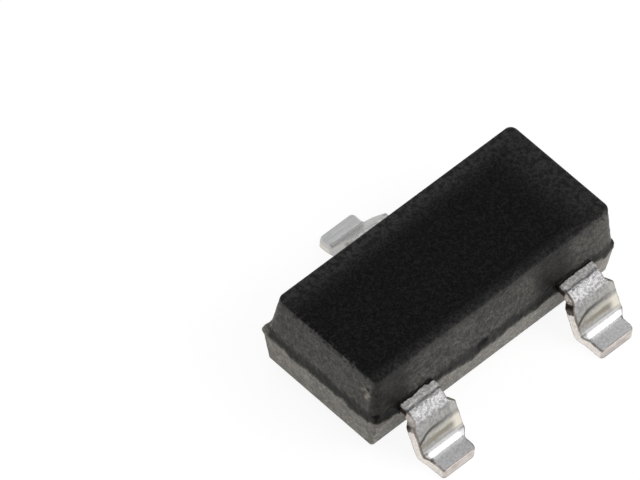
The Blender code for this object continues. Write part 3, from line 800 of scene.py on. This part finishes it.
def tin_material(look):
    """Plating whose marks follow the flat blank: line is the distance from the body in millimetres."""
    material, tree, shader = new_material("formed_tin_plate")
    place = object_place(tree)
    cut = attribute(tree, "cut")
    across, path, up = split(millimetres(attribute(tree, "blank", "Vector")))
    x, y, _ = split(place)
    fine = cloud(place, 0.011, 2.0, 0.6)
    coarse = cloud(place, 0.026)
    wide = cloud(place, 0.09)
    drawn = cloud(vectors("MULTIPLY", place, (0.2, 1.0, 1.0)), 0.022, 3.0, 0.6)
    line = path + (wide - 0.5) * 0.02
    bright, leg = tuple(look.tin_colour), look.leg_reflection_colour
    paired = fall(y, -0.1, 0.1)
    alone = 1.0 - paired
    spare = fade(x, 0.0, 0.1)

    # shoulder and leg
    patches = fade(coarse, 0.36, 0.62)
    tin = blend(patches, toned(bright, 0.8), bright)
    patchy = fade(coarse, 0.33, 0.62, 1.0, 0.3) * fade(line, 0.12, 0.17, 0.8, 1.1)
    # the leg is painted darker than the tin and lighter towards the heel: painted reflection
    leg_reflection = coat(blend(fade(coarse, 0.36, 0.64), toned(leg, 0.72), toned(leg, 1.08)),
                (fade(path, 0.22, 0.3, 0.0, 0.35), (0.3, 0.29, 0.27)),
                (fade(path, 0.43, 0.49), toned(leg, 1.7)))
    # the strip by the body is painted lighter: painted light in place of the dark body that it reflects
    strip = blend(fade(coarse, 0.4, 0.6), (0.7, 0.69, 0.68), (1.0, 0.99, 0.98))
    mark = look.mark_place / MM
    # the clamp groove is painted dark: painted shade in the groove
    groove = between(line, mark - 0.005, mark + 0.004, 0.012) * fade(coarse, 0.35, 0.6, 0.75, 0.5)
    tin = coat(tin,
               (between(line, *SHOULDER, 0.02) * patchy, toned(bright, 0.46)),
               (between(line, *LEG, 0.03), leg_reflection),
               (fade(across, -0.21, -0.13, 0.5, 0.0), (0.62, 0.6, 0.56)),
               (fall(line, 0.05, 0.062), strip),
               (groove, (0.21, 0.2, 0.195)))

    # cream and brown bands across the leg, painted reflections, and the dark lines that the forming punch
    # leaves across it
    bow = add(tree, "ShaderNodeMapRange", {"Value": across, "From Min": 0.05, "From Max": 0.245}, "Result")
    swept = line - bow ** 1.9 * (look.wipe_sweep / MM)
    start = look.wipe_place / MM
    wiped = between(swept, start + 0.02, 0.46, 0.016) * paired
    cream_reflection = larger(between(line, start + 0.046, start + 0.068, 0.022) * 0.68,
                   between(line, 0.428, 0.44, 0.016) * 0.35)
    cream_reflection = cream_reflection * (1.0 - fade(across, -0.1, 0.22) * 0.7) * wiped
    corner = between(line, 0.36, 0.45, 0.04) * fall(across, -0.19, -0.11)
    middle = fade(across, -0.19, -0.06) * fade(across, 0.06, 0.24, 1.0, 0.5)
    brown_reflection = between(line, 0.388, 0.406, 0.02) * middle * fade(drawn, 0.3, 0.6, 0.6, 1.0)
    arc = between(swept, start - 0.002, start + 0.008, 0.018) * fade(across, -0.2, 0.14, 0.25, 1.0)
    tin = coat(tin,
               (cream_reflection * fade(drawn, 0.25, 0.6, 0.5, 1.0), look.cream_reflection_colour),
               (corner * wiped, toned(look.cream_reflection_colour, 1.22)),
               (brown_reflection * paired, look.brown_reflection_colour),
               (between(line, 0.45, 0.458, 0.012) * 0.35, (0.24, 0.225, 0.2)),
               (arc * paired, look.wipe_colour))

    # heel and foot, first of the paired leads and then of the lone one
    sole = coat(blend(patches, (0.8, 0.8, 0.81), (0.97, 0.97, 0.98)),
                (fade(fine, 0.36, 0.5, 0.6, 0.0), (0.6, 0.6, 0.62)))
    heel = between(line, *HEEL, 0.04)
    frayed = across + (coarse - 0.5) * 0.06
    # the heel is painted dark near its edges: painted shade where the highlight does not reach the rolled
    # edges
    dimmed = fade(frayed, -0.21, -0.14, 0.7, 0.0) * (1.0 - spare)
    margin = larger(fade(frayed, 0.178, 0.205), larger(dimmed, fade(frayed, -0.225, -0.19, 0.5, 0.0)))
    lone_foot = blend(fade(drawn, 0.3, 0.65), (0.79, 0.795, 0.81), (0.92, 0.92, 0.93))
    nick = between(line, 0.59, 0.618, 0.016) * fade(wide, 0.4, 0.55, 0.5, 1.0) * fade(abs(across), 0.16, 0.19)
    tin = coat(tin,
               (fade(line, 0.57, 0.6) * paired, sole),
               (heel * paired, (0.62, 0.62, 0.625)),
               (margin * heel * paired, (0.26, 0.255, 0.25)),
               # painted shade: a darker band across the lone lead's heel
               (between(line, 0.47, 0.585, 0.035) * alone, (0.39, 0.39, 0.39)),
               (fade(line, 0.6, 0.66) * alone, lone_foot),
               (nick * paired * 0.8, (0.1, 0.09, 0.08)))
    tin = blend(fade(up, 0.0, 0.02), toned(bright, 0.8), tin)

    # trimmed faces
    side = blend(fade(line, 0.2, 0.32), look.cut_colour, (0.93, 0.9, 0.84))
    toe_face = blend(fade(wide, 0.35, 0.6), toned(look.cut_colour, 0.6), toned(look.cut_colour, 0.8))
    bare = coat(blend(fade(drawn, 0.3, 0.7, 0.0, 0.9), toned(look.cut_colour, 0.84), side),
                (fade(path, 0.742, 0.76), toe_face))
    plated = blend(fade(up, -0.02, 0.02), (0.7, 0.675, 0.62), (0.57, 0.56, 0.54))
    plated = blend(fade(line, 0.59, 0.64), (0.5, 0.495, 0.48), plated)
    surface = blend(fade(cut, 0.4, 0.75), tin, blend(paired, plated, bare))

    # dark rims, painted shade along the bottom edges and on the lower sides by the body, the stains where the
    # lead leaves the body, and stains with painted shade at the stubs
    rim = between(cut, 0.25, 0.75, 0.2) * fade(wide, 0.35, 0.6, 0.25, 0.8) * paired * fade(line, 0.05, 0.1)
    rim = larger(rim, paired * 0.75 * (between(cut, 0.35, 0.65, 0.2) * fade(path, 0.74, 0.75)))
    # the bottom edges are painted brown: painted shade where the lead meets the floor
    bottom_edge_shade = fade(cut, 0.8, 0.95) * fade(up, -0.049, -0.038, 0.8, 0.0)
    # the lower sides next to the body are painted dark: painted shadow of the body
    exit_side_shade = fall(line, 0.06, 0.1) * fade(cut, 0.3, 0.7)
    bleed = path + (wide - 0.5) * 0.05 + (coarse - 0.5) * 0.02 - spare * 0.005
    # the stub steps are painted dark brown: a stain and painted shade
    stub_step_gap = abs(line + (coarse - 0.5) * 0.03 - (look.neck_length / MM + 0.074))
    stub_stain_and_shade = fall(stub_step_gap - spare * 0.018, 0.022, 0.036) * (fade(cut, 0.3, 0.7) * paired)
    stub_stain_and_shade = stub_stain_and_shade * larger(fade(up, -0.02, 0.035, 1.0, 0.5), spare)
    surface = coat(surface,
                   (larger(rim, bottom_edge_shade), (0.17, 0.135, 0.11)),
                   (exit_side_shade, blend(fade(up, 0.005, 0.035), (0.06, 0.045, 0.04), (0.66, 0.65, 0.64))),
                   (fall(bleed, -0.004, 0.008),
                    blend(fade(bleed, -0.022, -0.01), (0.075, 0.073, 0.068), (0.017, 0.017, 0.0155))),
                   (stub_stain_and_shade * 0.95, (0.045, 0.03, 0.022)))
    plug(surface, shader, "Base Color")

    # finish
    shader["Metallic"].default_value = 1.0
    peeled = fall(line, 0.18, 0.27)
    rough = fade(peeled, 0.0, 1.0, 0.34, 0.47) + fade(fine, 0.3, 0.7, -0.05, 0.05)
    plug(rough + cut * 0.12 - heel * 0.03 + fade(line, 0.05, 0.07, 0.14, 0.0), shader, "Roughness")
    depth = fade(peeled, 0.0, 1.0, 0.11, 1.0) * fade(line, 0.055, 0.095, 0.4, 1.0)
    depth = depth * fade(heel, 0.0, 1.0, 1.0, 0.25)
    plug(emboss((fine * 0.9 + coarse * 1.6) * depth, 0.0055 * MM), shader, "Normal")
    return material


# Hidden parts

def plain_material(name, tone, metallic, roughness, size, depth, spread):
    material, tree, shader = new_material(name)
    grain = cloud(object_place(tree), size, 3.0, 0.6)
    plug(blend(fade(grain, 0.3, 0.7), toned(tone, 1 - spread), tone), shader, "Base Color")
    plug(fade(grain, 0.3, 0.7, roughness - 0.06, roughness + 0.06), shader, "Roughness")
    shader["Metallic"].default_value = metallic
    plug(emboss(grain, depth), shader, "Normal")
    return material


# Stage

def floor_material(look):
    """Matte to the light that falls on the part, and pale and even to the camera and in reflections."""
    material, tree, _ = new_material("pale_floor")
    tree.nodes.remove(tree.nodes["Principled BSDF"])
    ray = tree.nodes.new("ShaderNodeLightPath").outputs
    camera, glossy, through = (Signal(ray[name]) for name in
                               ("Is Camera Ray", "Is Glossy Ray", "Is Transmission Ray"))
    matte = add(tree, "ShaderNodeBsdfDiffuse", {"Color": (*look.floor_colour, 1.0)})
    softer = add(tree, "ShaderNodeBsdfDiffuse", {"Color": (*SEEN_FLOOR_SHADE, 1.0)})
    glow = add(tree, "ShaderNodeEmission", {"Color": WHITE, "Strength": SEEN_FLOOR_GLOW})
    shown = add(tree, "ShaderNodeAddShader", {0: softer, 1: glow})
    mixed = add(tree, "ShaderNodeMixShader",
                {0: larger(camera, larger(glossy, through)), 1: matte, 2: shown})
    plug(mixed, tree.nodes["Material Output"].inputs, "Surface")
    return material


def light_room(look):
    world = bpy.data.worlds.new("studio_room")
    bpy.context.scene.world = world
    world.use_nodes = True
    tree = world.node_tree
    tree.nodes.clear()
    height = split(add(tree, "ShaderNodeTexCoord", (), "Generated"))[2]
    room = fade(height, 0.05, 0.62, look.surround, look.ceiling)
    background = add(tree, "ShaderNodeBackground", {"Color": WHITE, "Strength": room})
    plug(background, tree.nodes.new("ShaderNodeOutputWorld").inputs, "Surface")


def soft_box(name, direction, width, height, distance, brightness):
    """Area lamp that shines at the part and looks as bright as said in reflections."""
    lamp = bpy.data.lights.new(name, "AREA")
    lamp.shape = "RECTANGLE"
    lamp.size = width
    lamp.size_y = height
    lamp.energy = brightness * pi * width * height
    made = add_object(name, lamp)
    towards = Vector(direction).normalized()
    made.location = towards * distance
    made.rotation_mode = "QUATERNION"
    made.rotation_quaternion = towards.to_track_quat("Z", "Y")
    made.visible_camera = False


def photo_camera(look):
    turn, rise, roll = look.camera_turn, look.camera_rise, look.camera_roll
    level = Vector((cos(turn), -sin(turn), 0.0))
    back = Vector((-sin(turn) * cos(rise), -cos(turn) * cos(rise), sin(rise)))
    upright = back.cross(level)
    right = level * cos(roll) + upright * sin(roll)
    up = upright * cos(roll) - level * sin(roll)
    data = bpy.data.cameras.new("photo_camera")
    data.sensor_width = 36.0
    data.lens = look.focal_length
    data.clip_start = 0.001
    data.clip_end = 20.0
    camera = add_object("photo_camera", data)
    place = PART_MIDDLE - right * VIEW_LEFT + up * VIEW_UP + back * look.camera_distance
    camera.matrix_world = Matrix.Translation(place) @ Matrix((right, up, back)).transposed().to_4x4()
    bpy.context.scene.camera = camera


# Operators

class DIODE_OT_mould_body(bpy.types.Operator):
    """Moulds the epoxy body with its drafted walls, torn parting flash and spark-eroded grain"""
    bl_idname = "diode.mould_body"
    bl_label = "Mould Body"

    def execute(self, context):
        look = context.scene.diode_body
        body = add_object("compound", body_mesh(look), epoxy_material(look))
        finish_piece(body, "moulded_body")
        return {"FINISHED"}


class DIODE_OT_form_leads(bpy.types.Operator):
    """Stamps and forms the three gull-wing leads with their posts and paddle"""
    bl_idname = "diode.form_leads"
    bl_label = "Form Leads"

    def execute(self, context):
        look = context.scene.diode_leads
        tree = forming_tree(tin_material(look))
        wall = BODY_HIGH.y
        shifts = (look.exit_shift, look.neck_shift, 0.0, look.foot_shift)
        trim = (look.neck_length, look.dambar_slant, look.foot_length, look.foot_taper, look.far_corner,
                look.bend_angle)
        head = -wall - ANODE_HIGH.y
        for name, node, low, high, seed in (("anode_wing", "anode_lead", ANODE_LOW, ANODE_HIGH, 11.0),
                                            ("spare_wing", "spare_lead", SPARE_LOW, SPARE_HIGH, 23.0)):
            pitch = copysign(HALF_PITCH, low.x)
            right, left = pitch - low.x, high.x - pitch
            half, shift = (left + right) / 2, (right - left) / 2
            inner = blunt_end(head, 1, half, shift)
            inner += [(head + POST_LENGTH, half, shift), (head + POST_LENGTH + WAIST_STEP, WAIST, 0.0),
                      (-WAIST_END, WAIST, 0.0)]
            piece = form_lead(name, look, tree, -low.y, inner, shifts, trim, look.toe_roll, seed,
                              place=Vector((pitch, 0, 0)), turn=pi)
            finish_piece(piece, node)
        half = LONE_HIGH.x
        far, near = LONE_LOW.y - wall, PADDLE_EDGE - wall
        inner = blunt_end(far, 1, half, 0.0) + blunt_end(near, -1, half, 0.0)[::-1]
        inner += [(near + WAIST_STEP, WAIST, 0.0), (-WAIST_END, WAIST, 0.0)]
        shifts = (0.0, 0.0, look.stub_shift, -3 * look.foot_shift)
        trim = (look.lone_neck, look.lone_slant, look.lone_foot, look.lone_taper, look.toe_corner,
                look.lone_angle)
        piece = form_lead("cathode_wing", look, tree, LONE_HIGH.y, inner, shifts, trim,
                          toe_roll=0.3 * look.toe_roll, seed=37.0, place=Vector((0, 0, 0)), turn=0.0)
        finish_piece(piece, "cathode_lead")
        return {"FINISHED"}


class DIODE_OT_coat_inner_parts(bpy.types.Operator):
    """Gives the chip, its adhesive and the bond wire their finishes"""
    bl_idname = "diode.coat_inner_parts"
    bl_label = "Coat Inner Parts"

    def execute(self, context):
        look = context.scene.diode_inner
        # node, then name, colour, metallic, roughness, size and depth of the grain, and spread of its tones
        for node, *finish in (
                ("diode_die", "sawn_silicon", look.silicon_colour, 0.6, 0.28, 0.01, 0.0003 * MM, 0.25),
                ("die_attach", "silver_adhesive", look.attach_colour, 0.9, 0.5, 0.006, 0.0006 * MM, 0.25),
                ("bond_wire", "drawn_gold", look.gold_colour, 1.0, 0.25, 0.01, 0.0002 * MM, 0.12)):
            material = plain_material(*finish)
            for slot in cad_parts[node].material_slots:
                slot.material = material
        return {"FINISHED"}


class DIODE_OT_set_stage(bpy.types.Operator):
    """Lays the pale floor, hangs the soft box and sets the camera of the photograph"""
    bl_idname = "diode.set_stage"
    bl_label = "Set Stage"

    def execute(self, context):
        look = context.scene.diode_stage
        half = look.floor_size / 2
        corners = [(-half, -half), (half, -half), (half, half), (-half, half)]
        mesh = bpy.data.meshes.new("studio_floor")
        mesh.from_pydata([Vector((x, y, -FLOOR_DROP)) for x, y in corners], [], [(0, 1, 2, 3)])
        floor = add_object("studio_floor", mesh, floor_material(look))
        light_room(look)
        soft_box("large_soft_box", direction=(0.4527, -0.616, 0.645), width=0.28, height=0.24, distance=0.35,
                 brightness=look.key)
        photo_camera(look)
        return {"FINISHED"}


class DIODE_PT_sidebar(bpy.types.Panel):
    bl_label = "Diode"
    bl_idname = "DIODE_PT_sidebar"
    bl_space_type = "VIEW_3D"
    bl_region_type = "UI"
    bl_category = "Diode"

    def draw(self, context):
        scene = context.scene
        for operator, look in ((DIODE_OT_mould_body, scene.diode_body),
                               (DIODE_OT_form_leads, scene.diode_leads),
                               (DIODE_OT_coat_inner_parts, scene.diode_inner),
                               (DIODE_OT_set_stage, scene.diode_stage)):
            box = self.layout.box()
            box.operator(operator.bl_idname)
            for name in look.__annotations__:
                box.prop(look, name)


LOOKS = {"diode_body": BodyLook, "diode_leads": LeadLook, "diode_inner": InnerLook, "diode_stage": StageLook}
CLASSES = (*LOOKS.values(), DIODE_OT_mould_body, DIODE_OT_form_leads, DIODE_OT_coat_inner_parts,
           DIODE_OT_set_stage, DIODE_PT_sidebar)


def register():
    for kind in CLASSES:
        bpy.utils.register_class(kind)
    for name, look in LOOKS.items():
        setattr(bpy.types.Scene, name, PointerProperty(type=look))


def unregister():
    for name in LOOKS:
        delattr(bpy.types.Scene, name)
    for kind in reversed(CLASSES):
        bpy.utils.unregister_class(kind)


def main():
    register()
    bpy.context.scene.view_settings.view_transform = "Standard"
    bpy.ops.diode.mould_body()
    bpy.ops.diode.form_leads()
    bpy.ops.diode.coat_inner_parts()
    bpy.ops.diode.set_stage()


if __name__ == "__main__":
    main()
